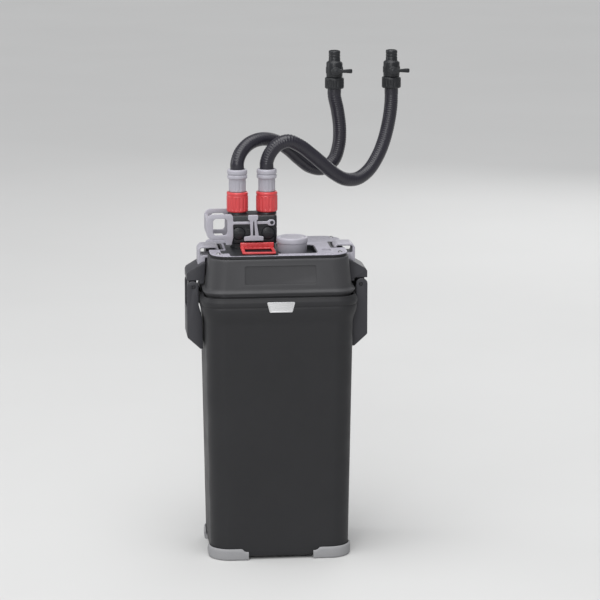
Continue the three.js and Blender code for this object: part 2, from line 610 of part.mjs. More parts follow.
// ---------------------------------------------------------------- hoses
const HOSE_ROUTES = {
  inlet_hose: [
    [-57.5, 0, 585.4], [-57.5, 0, 594], [-52, 6, 608], [-38, 15, 621], [-18, 26, 626], [4, 37, 621],
    [24, 49, 607], [42, 60, 590], [60, 70, 576], [80, 78, 572], [97, 83, 584], [105, 86, 606],
    [106.5, 87, 632], [103, 86, 660], [98, 84, 683], [98, 84, 693.5],
  ],
  outlet_hose: [
    [-13.3, 0, 585.4], [-13.3, 0, 594], [-8.5, 0.5, 607], [3, 2, 620], [19, 4, 625.5], [37, 9, 618],
    [55, 15, 604], [73, 21, 588], [91, 30, 572], [110, 39, 561], [130, 50, 560], [148, 59, 571],
    [162, 66, 590], [173, 73, 614], [181, 79, 643], [184.8, 83, 667], [185.5, 84, 683], [185.5, 84, 693.5],
  ],
};

for (const [name, route] of Object.entries(HOSE_ROUTES)) {
  const path = new THREE.CatmullRomCurve3(route.map((point) => new THREE.Vector3(...point)), false, 'centripetal');
  const section = new THREE.Shape().absarc(0, 0, HOSE_R, 0, 2 * Math.PI);
  add(name, new THREE.ExtrudeGeometry(section, { extrudePath: path, steps: 34, curveSegments: 5 }), hoseRubber);
}

// ---------------------------------------------------------------- taps at the far ends of the hoses
function tapBody(x) {
  const turnedBody = turned([
    [0, 712.6], [12.4, 712.6], [12.4, 734], [10.5, 736.6], [8.8, 737], [8.8, 752], [0, 752],
  ], x, TAP_Y);
  const boss = crossRod(6.5, TAP_Y - 15, TAP_Y, x, SPINDLE_Z);
  const chamber = crossRod(8.6, TAP_Y - 9, TAP_Y + 20, x, SPINDLE_Z);
  const spindleHole = crossRod(2.8, TAP_Y - 30, TAP_Y, x, SPINDLE_Z);
  return cut(join(turnedBody, boss), chamber, spindleHole, rod(TAP_BORE_R, 700, 760, x, TAP_Y));
}

function tapLever(x) {
  const z = SPINDLE_Z;
  const knob = crossRod(6, TAP_Y - 19.4, TAP_Y - 15.4, x, z);
  const arm = box(x, x + 22, TAP_Y - 19.4, TAP_Y - 16, z - 2, z + 2);
  const tip = crossRod(3.2, TAP_Y - 19.4, TAP_Y - 15.4, x + 22, z);
  const spindle = crossRod(2.4, TAP_Y - 17, TAP_Y - 8.6, x, z, 14);
  return join(knob, arm, tip, spindle);
}

function tapBall(x) {
  const z = SPINDLE_Z;
  const ball = crossRod(8.2, TAP_Y - 8.2, TAP_Y + 8.2, x, z);
  return cut(ball, rod(5.8, 700, 740, x, TAP_Y, 20));
}

TAP_X.forEach((x, i) => {
  const label = i === 0 ? 'inlet' : 'outlet';
  const rings = turned([
    [TAP_BORE_R, TAP_Z], [13.6, TAP_Z], [14.6, TAP_Z + 2], [14.6, TAP_Z + 15], [13.2, TAP_Z + 18],
    [TAP_BORE_R, TAP_Z + 18], [TAP_BORE_R, TAP_Z],
  ], x, TAP_Y, 24);
  add(`${label}_tap_body`, tapBody(x), blackPlastic);
  add(`${label}_tap_lever`, tapLever(x), blackPlastic);
  add(`${label}_tap_ball`, tapBall(x), greyPlastic);
  add(`${label}_tap_nut`, rings, blackPlastic);
});

export default filter;
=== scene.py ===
import json
import math

import bmesh
import bpy
from mathutils import Matrix, Vector


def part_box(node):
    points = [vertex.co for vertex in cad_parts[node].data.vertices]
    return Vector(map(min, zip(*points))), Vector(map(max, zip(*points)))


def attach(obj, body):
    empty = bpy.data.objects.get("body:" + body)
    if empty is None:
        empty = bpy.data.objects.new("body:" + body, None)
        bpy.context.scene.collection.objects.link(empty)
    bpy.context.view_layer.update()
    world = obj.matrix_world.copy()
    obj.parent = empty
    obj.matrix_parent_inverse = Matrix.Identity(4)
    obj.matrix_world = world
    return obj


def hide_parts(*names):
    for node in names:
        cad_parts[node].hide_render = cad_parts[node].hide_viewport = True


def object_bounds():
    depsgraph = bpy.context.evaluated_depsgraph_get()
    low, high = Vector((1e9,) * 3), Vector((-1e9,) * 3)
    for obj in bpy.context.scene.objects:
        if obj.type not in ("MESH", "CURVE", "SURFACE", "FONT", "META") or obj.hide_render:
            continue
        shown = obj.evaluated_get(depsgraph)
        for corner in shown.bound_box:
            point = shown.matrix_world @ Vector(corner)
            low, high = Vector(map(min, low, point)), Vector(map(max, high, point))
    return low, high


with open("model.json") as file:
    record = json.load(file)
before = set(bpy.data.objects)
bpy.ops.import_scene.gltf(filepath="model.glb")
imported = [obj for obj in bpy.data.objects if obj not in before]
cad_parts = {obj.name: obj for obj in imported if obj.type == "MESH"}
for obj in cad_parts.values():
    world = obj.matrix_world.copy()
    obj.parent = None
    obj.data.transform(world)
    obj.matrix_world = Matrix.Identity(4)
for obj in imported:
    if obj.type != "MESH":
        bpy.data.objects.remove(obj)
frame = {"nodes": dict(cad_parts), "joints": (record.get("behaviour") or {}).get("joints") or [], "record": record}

# Canister filter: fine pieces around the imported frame. Lengths below are in millimetres, and MM
# turns them into Blender's metres.
MM = 0.001
cad_low, cad_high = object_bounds()
scene = bpy.context.scene
slot_of_node = {row["node"]: row["material_slot"] for row in frame["record"]["subparts"]}
# Surface colour of each slot: the recorded colour, toned where the texture and gloss lighten it.
tone = {
    "tank_plastic": 0.36, "head_plastic": 0.56, "clamp_plastic": 0.66, "hose_rubber": 0.6, "grey_plastic": 0.84,
    "boot_rubber": 0.85,
}
slot_color = {
    row["slot"]: [channel * tone.get(row["slot"], 1.0) for channel in row["base_color"][:3]]
    for row in frame["record"]["materials"]
}


def middle(node):
    """The centre of a CAD node's box, in millimetres."""
    low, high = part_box(node)
    return (low + high) / 2 / MM


def joint_at(name):
    """The pivot point of a joint, in millimetres."""
    found = next(joint for joint in frame["joints"] if joint["name"] == name)
    return Vector(found["pos_m"]) / MM


# ------------------------------------------------------------------ camera
CAMERA_AT = Vector((-355, -3899, 1190))
FRAME_HALF = 455


def make_camera():
    """Looks from the photo's angle at the middle of the CAD box, raised a little."""
    low, high = cad_low / MM, cad_high / MM
    target = (low + high) / 2 + Vector((0, 0, 6))
    data = bpy.data.cameras.new("camera")
    camera = bpy.data.objects.new("camera", data)
    scene.collection.objects.link(camera)
    camera.location = CAMERA_AT * MM
    back = CAMERA_AT - target
    camera.rotation_mode = "QUATERNION"
    camera.rotation_quaternion = back.to_track_quat("Z", "Y")
    data.sensor_width = 36
    data.lens = 18 * back.length / FRAME_HALF
    data.clip_start = 0.05
    data.clip_end = 40
    scene.camera = camera


make_camera()


# ------------------------------------------------------------------ materials
def node_tree(name):
    material = bpy.data.materials.new(name)
    material.use_nodes = True
    tree = material.node_tree
    return material, tree, tree.nodes["Principled BSDF"]


def link(tree, source, target):
    tree.links.new(source, target)


def noise_field(tree, scale, detail=3.0, rough=0.55):
    coordinates = tree.nodes.new("ShaderNodeTexCoord")
    field = tree.nodes.new("ShaderNodeTexNoise")
    field.inputs["Scale"].default_value = scale
    field.inputs["Detail"].default_value = detail
    field.inputs["Roughness"].default_value = rough
    link(tree, coordinates.outputs["Object"], field.inputs["Vector"])
    return field.outputs["Fac"]


def remap(tree, source, low, high, from_low=0.0, from_high=1.0):
    node = tree.nodes.new("ShaderNodeMapRange")
    node.inputs["From Min"].default_value = from_low
    node.inputs["From Max"].default_value = from_high
    node.inputs["To Min"].default_value = low
    node.inputs["To Max"].default_value = high
    link(tree, source, node.inputs["Value"])
    return node.outputs["Result"]


def blend_color(tree, factor, first, second):
    node = tree.nodes.new("ShaderNodeMix")
    node.data_type = "RGBA"
    link(tree, factor, node.inputs["Factor"])
    for socket, value in ((node.inputs["A"], first), (node.inputs["B"], second)):
        if isinstance(value, bpy.types.NodeSocket):
            link(tree, value, socket)
        else:
            socket.default_value = (*value, 1)
    return node.outputs["Result"]


def shade(color, factor):
    return tuple(min(1.0, channel * factor) for channel in color)


def bump(tree, shader, height, distance, strength=1.0, under=None):
    node = tree.nodes.new("ShaderNodeBump")
    node.inputs["Distance"].default_value = distance
    node.inputs["Strength"].default_value = strength
    link(tree, height, node.inputs["Height"])
    if under is not None:
        link(tree, under, node.inputs["Normal"])
    link(tree, node.outputs["Normal"], shader.inputs["Normal"])
    return node.outputs["Normal"]


def edge_highlight_mask(tree):
    """Painted highlight: bright along convex outer edges, standing in for the light they catch, from the mesh's own
    curvature.
    """
    geometry = tree.nodes.new("ShaderNodeNewGeometry")
    return remap(tree, geometry.outputs["Pointiness"], 0.0, 1.0, 0.505, 0.56)


def dust_mask(tree, amount):
    """Thin dust on surfaces that face up, broken up by noise."""
    geometry = tree.nodes.new("ShaderNodeNewGeometry")
    split = tree.nodes.new("ShaderNodeSeparateXYZ")
    link(tree, geometry.outputs["Normal"], split.inputs["Vector"])
    upward = remap(tree, split.outputs["Z"], 0.0, amount, 0.55, 1.0)
    patch = remap(tree, noise_field(tree, 55, 5), 0.25, 1.0, 0.35, 0.65)
    product = tree.nodes.new("ShaderNodeMath")
    product.operation = "MULTIPLY"
    link(tree, upward, product.inputs[0])
    link(tree, patch, product.inputs[1])
    return product.outputs["Value"]


def moulded(slot, rough=0.45, grain=1600, grain_height=0.05, vary=0.10, edge_highlight=1.5, dust=0.05, specular=0.5, coat=0.0):
    """Injection-moulded plastic or rubber: fine spark texture, slight clouding, a painted highlight along convex
    edges, thin dust.
    """
    material, tree, shader = node_tree(slot)
    color = slot_color[slot]
    clouds = noise_field(tree, 9, 4)
    base = blend_color(tree, remap(tree, clouds, 0, 1, 0.3, 0.7), shade(color, 1 - vary), shade(color, 1 + vary))
    flecks = noise_field(tree, grain * 0.6, 2)
    base = blend_color(tree, remap(tree, flecks, 0, 0.35, 0.55, 0.8), base, shade(color, 1.35))
    # Painted highlight: convex edges are lightened in the base colour, standing in for the light they catch.
    base = blend_color(tree, remap(tree, edge_highlight_mask(tree), 0, 0.45), base, shade(color, edge_highlight))
    base = blend_color(tree, dust_mask(tree, dust), base, (0.45, 0.44, 0.42))
    link(tree, base, shader.inputs["Base Color"])
    smears = remap(tree, noise_field(tree, 22, 6, 0.65), rough - 0.07, rough + 0.09, 0.3, 0.7)
    link(tree, smears, shader.inputs["Roughness"])
    shader.inputs["Specular IOR Level"].default_value = specular
    shader.inputs["Coat Weight"].default_value = coat
    shader.inputs["Coat Roughness"].default_value = 0.25
    soft = bump(tree, shader, noise_field(tree, 60, 2), 0.00008, 0.5)
    bump(tree, shader, noise_field(tree, grain, 2), grain_height * MM, 0.6, soft)
    return material


def speckled(slot):
    """Plastic with a coarse two-tone fleck, as on the top plate."""
    rough = 0.4
    material, tree, shader = node_tree(slot)
    color = slot_color[slot]
    coarse = remap(tree, noise_field(tree, 420, 4, 0.7), 0, 1, 0.42, 0.6)
    base = blend_color(tree, coarse, shade(color, 0.72), shade(color, 1.22))
    # Painted highlight: convex edges are lightened in the base colour, standing in for the light they catch.
    base = blend_color(tree, remap(tree, edge_highlight_mask(tree), 0, 0.5), base, shade(color, 1.6))
    base = blend_color(tree, dust_mask(tree, 0.08), base, (0.5, 0.49, 0.47))
    link(tree, base, shader.inputs["Base Color"])
    smears = remap(tree, noise_field(tree, 30, 5), rough - 0.06, rough + 0.12, 0.3, 0.7)
    link(tree, smears, shader.inputs["Roughness"])
    bump(tree, shader, noise_field(tree, 900, 3), 0.00006, 0.6)
    return material


def metallic(slot, rough=0.3, stretch=(1, 1, 1), scale=700, tint=0.12):
    """Metal with directional brushing: stretch squeezes the noise along the brushed direction."""
    material, tree, shader = node_tree(slot)
    color = slot_color[slot]
    coordinates = tree.nodes.new("ShaderNodeTexCoord")
    mapping = tree.nodes.new("ShaderNodeMapping")
    mapping.inputs["Scale"].default_value = stretch
    link(tree, coordinates.outputs["Object"], mapping.inputs["Vector"])
    streaks = tree.nodes.new("ShaderNodeTexNoise")
    streaks.inputs["Scale"].default_value = scale
    streaks.inputs["Detail"].default_value = 5
    link(tree, mapping.outputs["Vector"], streaks.inputs["Vector"])
    base = blend_color(tree, streaks.outputs["Fac"], shade(color, 1 - tint), shade(color, 1 + tint))
    link(tree, base, shader.inputs["Base Color"])
    shader.inputs["Metallic"].default_value = 1.0
    link(tree, remap(tree, streaks.outputs["Fac"], rough - 0.08, rough + 0.1, 0.3, 0.7), shader.inputs["Roughness"])
    bump(tree, shader, streaks.outputs["Fac"], 0.00003, 0.5)
    return material


def cellular(slot, cell=520, depth=0.5, rough=0.9):
    """Open-cell foam or porous ceramic: a Voronoi pore pattern, with painted shade darkening the pores."""
    material, tree, shader = node_tree(slot)
    color = slot_color[slot]
    coordinates = tree.nodes.new("ShaderNodeTexCoord")
    pores = tree.nodes.new("ShaderNodeTexVoronoi")
    pores.inputs["Scale"].default_value = cell
    link(tree, coordinates.outputs["Object"], pores.inputs["Vector"])
    pore_wall = remap(tree, pores.outputs["Distance"], 0, 1, 0.1, 0.6)
    # Painted shade: the pores are darker than their walls, standing in for the shade inside them.
    base = blend_color(tree, pore_wall, shade(color, 0.4), shade(color, 1.2))
    link(tree, base, shader.inputs["Base Color"])
    link(tree, remap(tree, noise_field(tree, 40), rough - 0.08, rough + 0.08), shader.inputs["Roughness"])
    bump(tree, shader, pores.outputs["Distance"], depth * MM, 0.8)
    return material


materials = {
    "tank_plastic": moulded("tank_plastic", 0.5, 1500, 0.05, 0.08, 1.7, 0.012, 0.3),
    "head_plastic": moulded("head_plastic", 0.48, 1500, 0.05, 0.08, 1.7, 0.015, 0.32),
    "black_plastic": moulded("black_plastic", 0.36, 1900, 0.03, 0.10, 1.9, 0.01, 0.4),
    "clamp_plastic": moulded("clamp_plastic", 0.42, 1700, 0.04, 0.10, 1.6, 0.03, 0.38),
    "grey_plastic": moulded("grey_plastic", 0.42, 1700, 0.03, 0.06, 1.25, 0.06),
    "cover_plastic": speckled("cover_plastic"),
    "red_plastic": moulded("red_plastic", 0.30, 1700, 0.02, 0.08, 1.25, 0.03, 0.5, 0.25),
    "boot_rubber": moulded("boot_rubber", 0.62, 1200, 0.08, 0.08, 1.15, 0.05, 0.35),
    "seal_rubber": moulded("seal_rubber", 0.6, 1300, 0.05, 0.1, 1.3, 0.02, 0.35),
    "hose_rubber": moulded("hose_rubber", 0.32, 1600, 0.02, 0.14, 1.5, 0.01, 0.5, 0.1),
    "inner_plastic": moulded("inner_plastic", 0.5, 1600, 0.04, 0.08, 1.3, 0.02),
    "ceramic": moulded("ceramic", 0.2, 2000, 0.01, 0.03, 1.05, 0.0, 0.5, 0.4),
    "filter_foam": cellular("filter_foam"),
    "ceramic_media": cellular("ceramic_media", 150, 1.2, 0.85),
    "badge_silver": metallic("badge_silver", 0.3, (0.05, 1, 1), 900, 0.06),
    "steel": metallic("steel", 0.28, (1, 0.1, 1), 900),
    "laminated_steel": metallic("laminated_steel", 0.45, (0.02, 0.02, 1.6), 1200, 0.25),
    "winding_copper": metallic("winding_copper", 0.35, (0.02, 1, 1.4), 1300, 0.3),
    "magnet": metallic("magnet", 0.4, (1, 1, 1), 400, 0.15),
}


# ------------------------------------------------------------------ mesh building
def mesh_of(name, points, faces):
    mesh = bpy.data.meshes.new(name)
    mesh.from_pydata([tuple(Vector(point) * MM) for point in points], [], faces)
    work = bmesh.new()
    work.from_mesh(mesh)
    bmesh.ops.remove_doubles(work, verts=work.verts, dist=1e-7)
    bmesh.ops.recalc_face_normals(work, faces=work.faces)
    work.to_mesh(mesh)
    work.free()
    return mesh


def rounded_ring(w, d, r, z, cx=0.0, cy=0.0, steps=12):
    """One level of a rounded rectangle: points counter-clockwise."""
    points = []
    for quarter, (sx, sy) in enumerate(((1, 1), (-1, 1), (-1, -1), (1, -1))):
        for step in range(steps + 1):
            angle = math.pi / 2 * (quarter + step / steps)
            x = cx + sx * (w / 2 - r) + r * math.cos(angle)
            y = cy + sy * (d / 2 - r) + r * math.sin(angle)
            points.append((x, y, z))
    return points


def skin(rings, close_loop=False):
    """Quads between rings of equal length, with end caps unless the rings close on themselves."""
    count = len(rings[0])
    points = [point for ring in rings for point in ring]
    faces = []
    last = len(rings) if close_loop else len(rings) - 1
    for level in range(last):
        low = level * count
        high = (level + 1) % len(rings) * count
        for k in range(count):
            j = (k + 1) % count
            faces.append((low + k, low + j, high + j, high + k))
    if not close_loop:
        faces.append(tuple(reversed(range(count))))
        faces.append(tuple(range((len(rings) - 1) * count, len(rings) * count)))
    return points, faces


def loft(name, levels, cx=0.0, cy=0.0, steps=12, close_loop=False):
    """A rounded-rectangle shell from levels of (z, width, depth, corner radius)."""
    rings = [rounded_ring(w, d, r, z, cx, cy, steps) for z, w, d, r in levels]
    return mesh_of(name, *skin(rings, close_loop))


def lathe(name, profile, cx=0.0, cy=0.0, sides=96, flutes=None, axis="Z", at=0.0):
    """A turned piece from (radius, height) points. flutes is (count, depth, low, high): shallow grip
    grooves between two heights. axis Y lays the piece along Y, with at as the height of its axis."""
    closed = profile[0] == profile[-1]
    outline = profile[:-1] if closed else profile
    rings = []
    for r, h in outline:
        ring = []
        for side in range(sides):
            angle = 2 * math.pi * side / sides
            radius = r
            if flutes and flutes[2] <= h <= flutes[3]:
                wave = 0.5 - 0.5 * math.cos(angle * flutes[0])
                radius = r - flutes[1] * wave ** 3
            ring.append((radius * math.cos(angle), radius * math.sin(angle), h))
        rings.append(ring)
    points, faces = skin(rings, closed)
    if axis == "Y":
        points = [(cx + x, z, at - y) for x, y, z in points]
    else:
        points = [(cx + x, cy + y, z) for x, y, z in points]
    return mesh_of(name, points, faces)


def rounded(points, radius=1.0, steps=5):
    """A closed outline with its corners filleted. A point may carry its own radius as a third value."""
    outline = []
    count = len(points)
    for i, point in enumerate(points):
        here = Vector(point[:2])
        before = Vector(points[i - 1][:2]) - here
        after = Vector(points[(i + 1) % count][:2]) - here
        r = point[2] if len(point) > 2 else radius
        half = before.angle(after) / 2
        reach = min(r / math.tan(half), before.length * 0.48, after.length * 0.48)
        r = reach * math.tan(half)
        centre = here + (before.normalized() + after.normalized()).normalized() * r / math.sin(half)
        start = here + before.normalized() * reach - centre
        end = here + after.normalized() * reach - centre
        turn = math.atan2(start.x * end.y - start.y * end.x, start.dot(end))
        for step in range(steps + 1):
            outline.append(centre + Matrix.Rotation(turn * step / steps, 2) @ start)
    return outline


def circle(x, y, r):
    steps = 40
    return [Vector((x + r * math.cos(2 * math.pi * k / steps), y + r * math.sin(2 * math.pi * k / steps)))
            for k in range(steps)]


def plate(name, outlines, low, high, edge=0.8, plane="XZ"):
    """A flat plate with rounded edges from closed outlines: the first is the outside and the rest are
    holes. It runs from low to high across its plane: along Y for XZ, Z for XY and X for YZ."""
    curve = bpy.data.curves.new(name, "CURVE")
    curve.dimensions = "2D"
    curve.fill_mode = "BOTH"
    curve.bevel_depth = edge
    curve.bevel_resolution = 2
    curve.offset = -edge
    curve.extrude = max((high - low) / 2 - edge, 0.001)
    for outline in outlines:
        spline = curve.splines.new("POLY")
        spline.points.add(len(outline) - 1)
        for point, corner in zip(spline.points, outline):
            point.co = (corner[0], corner[1], 0, 1)
        spline.use_cyclic_u = True
    holder = bpy.data.objects.new(name, curve)
    scene.collection.objects.link(holder)
    bpy.context.view_layer.update()
    mesh = bpy.data.meshes.new_from_object(holder.evaluated_get(bpy.context.evaluated_depsgraph_get()))
    bpy.data.objects.remove(holder)
    middle_at = (low + high) / 2
    turn = {
        "XZ": Matrix(((1, 0, 0, 0), (0, 0, -1, middle_at), (0, 1, 0, 0), (0, 0, 0, 1))),
        "XY": Matrix.Translation((0, 0, middle_at)),
        "YZ": Matrix(((0, 0, 1, middle_at), (1, 0, 0, 0), (0, 1, 0, 0), (0, 0, 0, 1))),
    }[plane]
    mesh.transform(Matrix.Scale(MM, 4) @ turn)
    mesh.name = name
    work = bmesh.new()
    work.from_mesh(mesh)
    bmesh.ops.remove_doubles(work, verts=work.verts, dist=1e-6)
    bmesh.ops.recalc_face_normals(work, faces=work.faces)
    work.to_mesh(mesh)
    work.free()
    return mesh


def block(name, x, y, z, r=1.0, steps=4):
    """A box with rounded upright edges."""
    (x0, x1), (y0, y1), (z0, z1) = x, y, z
    levels = [(z0, x1 - x0, y1 - y0, r), (z1, x1 - x0, y1 - y0, r)]
    return loft(name, levels, (x0 + x1) / 2, (y0 + y1) / 2, steps)


def merged(name, *meshes):
    """Several meshes as one."""
    work = bmesh.new()
    for mesh in meshes:
        work.from_mesh(mesh)
    result = bpy.data.meshes.new(name)
    work.to_mesh(result)
    work.free()
    return result


def carve(mesh, *tools, mode="DIFFERENCE"):
    """mesh with each tool mesh cut away or joined on, as a new mesh."""
    base = bpy.data.objects.new("carved", mesh)
    scene.collection.objects.link(base)
    holders = []
    for tool in tools:
        holder = bpy.data.objects.new("tool", tool)
        scene.collection.objects.link(holder)
        holders.append(holder)
        step = base.modifiers.new("cut", "BOOLEAN")
        step.operation = mode
        step.solver = "EXACT"
        step.object = holder
    bpy.context.view_layer.update()
    result = bpy.data.meshes.new_from_object(base.evaluated_get(bpy.context.evaluated_depsgraph_get()))
    for holder in [base, *holders]:
        bpy.data.objects.remove(holder)
    return result


def piece(name, mesh, body, slot, replaces=(), bevel=0.0, segments=3, angle=35):
    """Makes an object of the mesh: smooth, edge-rounded, painted with its slot's finish, and riding on a body."""
    for polygon in mesh.polygons:
        polygon.use_smooth = True
    item = bpy.data.objects.new(name, mesh)
    scene.collection.objects.link(item)
    mesh.materials.clear()
    mesh.materials.append(materials[slot])
    if bevel:
        edge = item.modifiers.new("edge", "BEVEL")
        edge.width = bevel * MM
        edge.segments = segments
        edge.limit_method = "ANGLE"
        edge.angle_limit = math.radians(angle)
        edge.harden_normals = True
    else:
        mesh.set_sharp_from_angle(angle=math.radians(angle))
    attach(item, body)
    if replaces:
        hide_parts(*([replaces] if isinstance(replaces, str) else replaces))
    return item


# ------------------------------------------------------------------ hoses
HOSE_ROUTES = {
    "inlet_hose": [
        (-57.5, 0, 585.4), (-57.5, 0, 594), (-52, 6, 608), (-38, 15, 621), (-18, 26, 626), (4, 37, 621),
        (24, 49, 607), (42, 60, 590), (60, 70, 576), (80, 78, 572), (97, 83, 584), (105, 86, 606),
        (106.5, 87, 632), (103, 86, 660), (98, 84, 683), (98, 84, 693.5),
    ],
    "outlet_hose": [
        (-13.3, 0, 585.4), (-13.3, 0, 594), (-8.5, 0.5, 607), (3, 2, 620), (19, 4, 625.5), (37, 9, 618),
        (55, 15, 604), (73, 21, 588), (91, 30, 572), (110, 39, 561), (130, 50, 560), (148, 59, 571),
        (162, 66, 590), (173, 73, 614), (181, 79, 643), (184.8, 83, 667), (185.5, 84, 683), (185.5, 84, 693.5),
    ],
}
HOSE_R = 10.4
RIB_PITCH = 3.4
RIB_DEPTH = 0.4
STEPS_PER_RIB = 6
HOSE_SIDES = 40
CUFF_LENGTH = 7
CUFF_FADE = 3


def smooth_route(points, spacing):
    """Centripetal Catmull-Rom through the points, resampled at even spacing."""
    knots = [Vector(point) for point in points]
    knots = [2 * knots[0] - knots[1], *knots, 2 * knots[-1] - knots[-2]]
    fine = []
    for a, b, c, d in zip(knots, knots[1:], knots[2:], knots[3:]):
        t0 = 0.0
        t1 = t0 + math.sqrt((b - a).length)
        t2 = t1 + math.sqrt((c - b).length)
        t3 = t2 + math.sqrt((d - c).length)
        for step in range(40):
            t = t1 + (t2 - t1) * step / 40
            a1 = a.lerp(b, (t - t0) / (t1 - t0))
            a2 = b.lerp(c, (t - t1) / (t2 - t1))
            a3 = c.lerp(d, (t - t2) / (t3 - t2))
            b1 = a1.lerp(a2, (t - t0) / (t2 - t0))
            b2 = a2.lerp(a3, (t - t1) / (t3 - t1))
            fine.append(b1.lerp(b2, (t - t1) / (t2 - t1)))
    fine.append(knots[-2])
    travelled = [0.0]
    for a, b in zip(fine, fine[1:]):
        travelled.append(travelled[-1] + (b - a).length)
    count = round(travelled[-1] / spacing)
    route = []
    k = 0
    for i in range(count + 1):
        goal = travelled[-1] * i / count
        while k < len(fine) - 2 and travelled[k + 1] < goal:
            k += 1
        span = travelled[k + 1] - travelled[k]
        route.append(fine[k].lerp(fine[k + 1], (goal - travelled[k]) / span))
    return route, travelled[-1]


def ribbed_hose(name, points):
    """A hose with rounded rings along it and plain cuffs at both ends."""
    route, length = smooth_route(points, RIB_PITCH / STEPS_PER_RIB)
    normal = Vector((0, 1, 0))
    rings = []
    for i, at in enumerate(route):
        ahead = route[min(i + 1, len(route) - 1)]
        behind = route[max(i - 1, 0)]
        tangent = (ahead - behind).normalized()
        normal = (normal - tangent * normal.dot(tangent)).normalized()
        across = tangent.cross(normal)
        phase = 2 * math.pi * i / STEPS_PER_RIB
        from_end = min(i, len(route) - 1 - i) * RIB_PITCH / STEPS_PER_RIB
        fade = min(1.0, max(0.0, (from_end - CUFF_LENGTH) / CUFF_FADE))
        r = HOSE_R - RIB_DEPTH * fade * (0.5 - 0.5 * math.cos(phase))
        rings.append([at + (normal * math.cos(a) + across * math.sin(a)) * r
                      for a in (2 * math.pi * k / HOSE_SIDES for k in range(HOSE_SIDES))])
    return mesh_of(name, *skin(rings)), route, length


for hose_name, hose_points in HOSE_ROUTES.items():
    hose_mesh, hose_route, hose_length = ribbed_hose(hose_name, hose_points)
    piece(hose_name + "_ribbed", hose_mesh, "root", "hose_rubber", hose_name, angle=60)


# ------------------------------------------------------------------ canister
def canister():
    """The tapered canister with its rounded collar, open at the top."""
    outer = [
        (4.0, 200, 150, 26), (4.5, 203.5, 153.5, 27.5), (6.3, 207.4, 157.4, 29), (9, 209.4, 159.4, 30),
        (14, 210.1, 160.1, 30), (361, 221.4, 169.4, 30), (365, 222, 170, 30), (368.5, 223.4, 171, 30.4),
        (372.5, 226, 172.6, 31), (377, 229.4, 174.4, 31.6), (381.5, 231.6, 175.6, 32), (386, 232.8, 176.2, 32.2),
        (388.6, 232.8, 176.2, 32.2), (389.6, 231.8, 175.2, 31.7), (390.5, 231.8, 175.2, 31.7),
        (391.6, 233.6, 176.2, 32.2), (393, 234.6, 176.9, 32.4), (397.2, 234.6, 176.9, 32.4),
        (398.6, 234, 176.4, 32.2), (402, 229.4, 172.4, 30.4), (402.8, 228.8, 172, 30), (403.6, 228.4, 171.6, 29.8),
        (404, 227.6, 170.8, 29.4),
    ]
    inner = [(404, 223, 167, 27), (376, 221, 165, 27), (372, 214, 162, 26), (9, 202, 152, 26)]
    return loft("canister", outer + inner, steps=16)


def clamp_ear(side, front):
    """The ear on the collar that carries one cheek of a clamp lever, with its stub pin."""
    pivot = joint_at("clamp_lever_right_hinge")
    y0, y1 = (-25, -20) if front else (20, 25)
    outline = [(115, 385, 0.5), (121.5, 389, 2), (122.4, 398, 3), (131.5, 407, 5), (131.5, 417.5, 5.4),
               (120.5, 417.5, 5.4), (117, 404, 2), (115, 403, 0.5)]
    shape = [(side * x, z, r) for x, z, r in outline]
    lug = plate("ear", [rounded(shape)], y0, y1, 0.8)
    pin_y = (-31.4, -22) if front else (22, 31.4)
    ends = [(0, pin_y[0]), (2, pin_y[0]), (2.4, pin_y[0] + 0.4), (2.4, pin_y[1] - 0.4), (2, pin_y[1]), (0, pin_y[1])]
    pin = lathe("pin", ends, side * pivot.x, sides=32, axis="Y", at=pivot.z)
    return merged("ear", lug, pin)


piece("canister_shell", canister(), "root", "tank_plastic", "canister_body", angle=30)
piece("clamp_ears", merged("ears", *(clamp_ear(s, f) for s in (-1, 1) for f in (True, False))),
      "root", "tank_plastic", "canister_body", angle=40)


def boot(sx, sy):
    """A rubber corner boot: an upstand round the canister's corner on a flat pad, stepped down at its ends."""
    steps = 20
    r = 30.4
    cx, cy = sx * (105.3 - r), sy * (80.3 - r)
    path = []
    for k in range(9):
        x = 49 + (105.3 - r - 49) * k / 8
        path.append((Vector((sx * x, sy * 80.3)), Vector((0, sy))))
    for k in range(1, steps):
        a = math.pi / 2 * (1 - k / steps)
        out = Vector((sx * math.cos(a), sy * math.sin(a)))
        path.append((Vector((cx, cy)) + out * r, out))
    for k in range(9):
        y = 80.3 - r + (36 - (80.3 - r)) * k / 8
        path.append((Vector((sx * 105.3, sy * y)), Vector((sx, 0))))
    rings = []
    length = 0.0
    total = sum((b[0] - a[0]).length for a, b in zip(path, path[1:]))
    last = path[0][0]
    for at, out in path:
        length += (at - last).length
        last = at
        end = min(length, total - length)
        rise = 1 / (1 + math.exp(-(end - 7.5) / 0.9))
        top = 13.2 + 4.8 * rise
        lean = 0.0155
        profile = [(-16, 0.0), (0.5, 0.0), (1.6, 0.5), (2.6, 1.8), (2.9, 3.4), (3.0, top - 4.5), (2.6, top - 1.6),
                   (1.9, top - 0.5), (1.1, top), (0.3, top - 0.3), (0.2, 9), (-1.6, 6.2), (-3.6, 4.2), (-5, 3.7),
                   (-16, 3.7)]
        rings.append([(*(at + out * (o + h * lean)), h) for o, h in profile])
    return mesh_of("boot", *skin(rings))


for end_name, sy in (("front", -1), ("rear", 1)):
    for hand_name, sx in (("left", -1), ("right", 1)):
        label = f"foot_boot_{end_name}_{hand_name}"
        piece(label + "_rubber", boot(sx, sy), "root", "boot_rubber", label, bevel=0.5, angle=50)

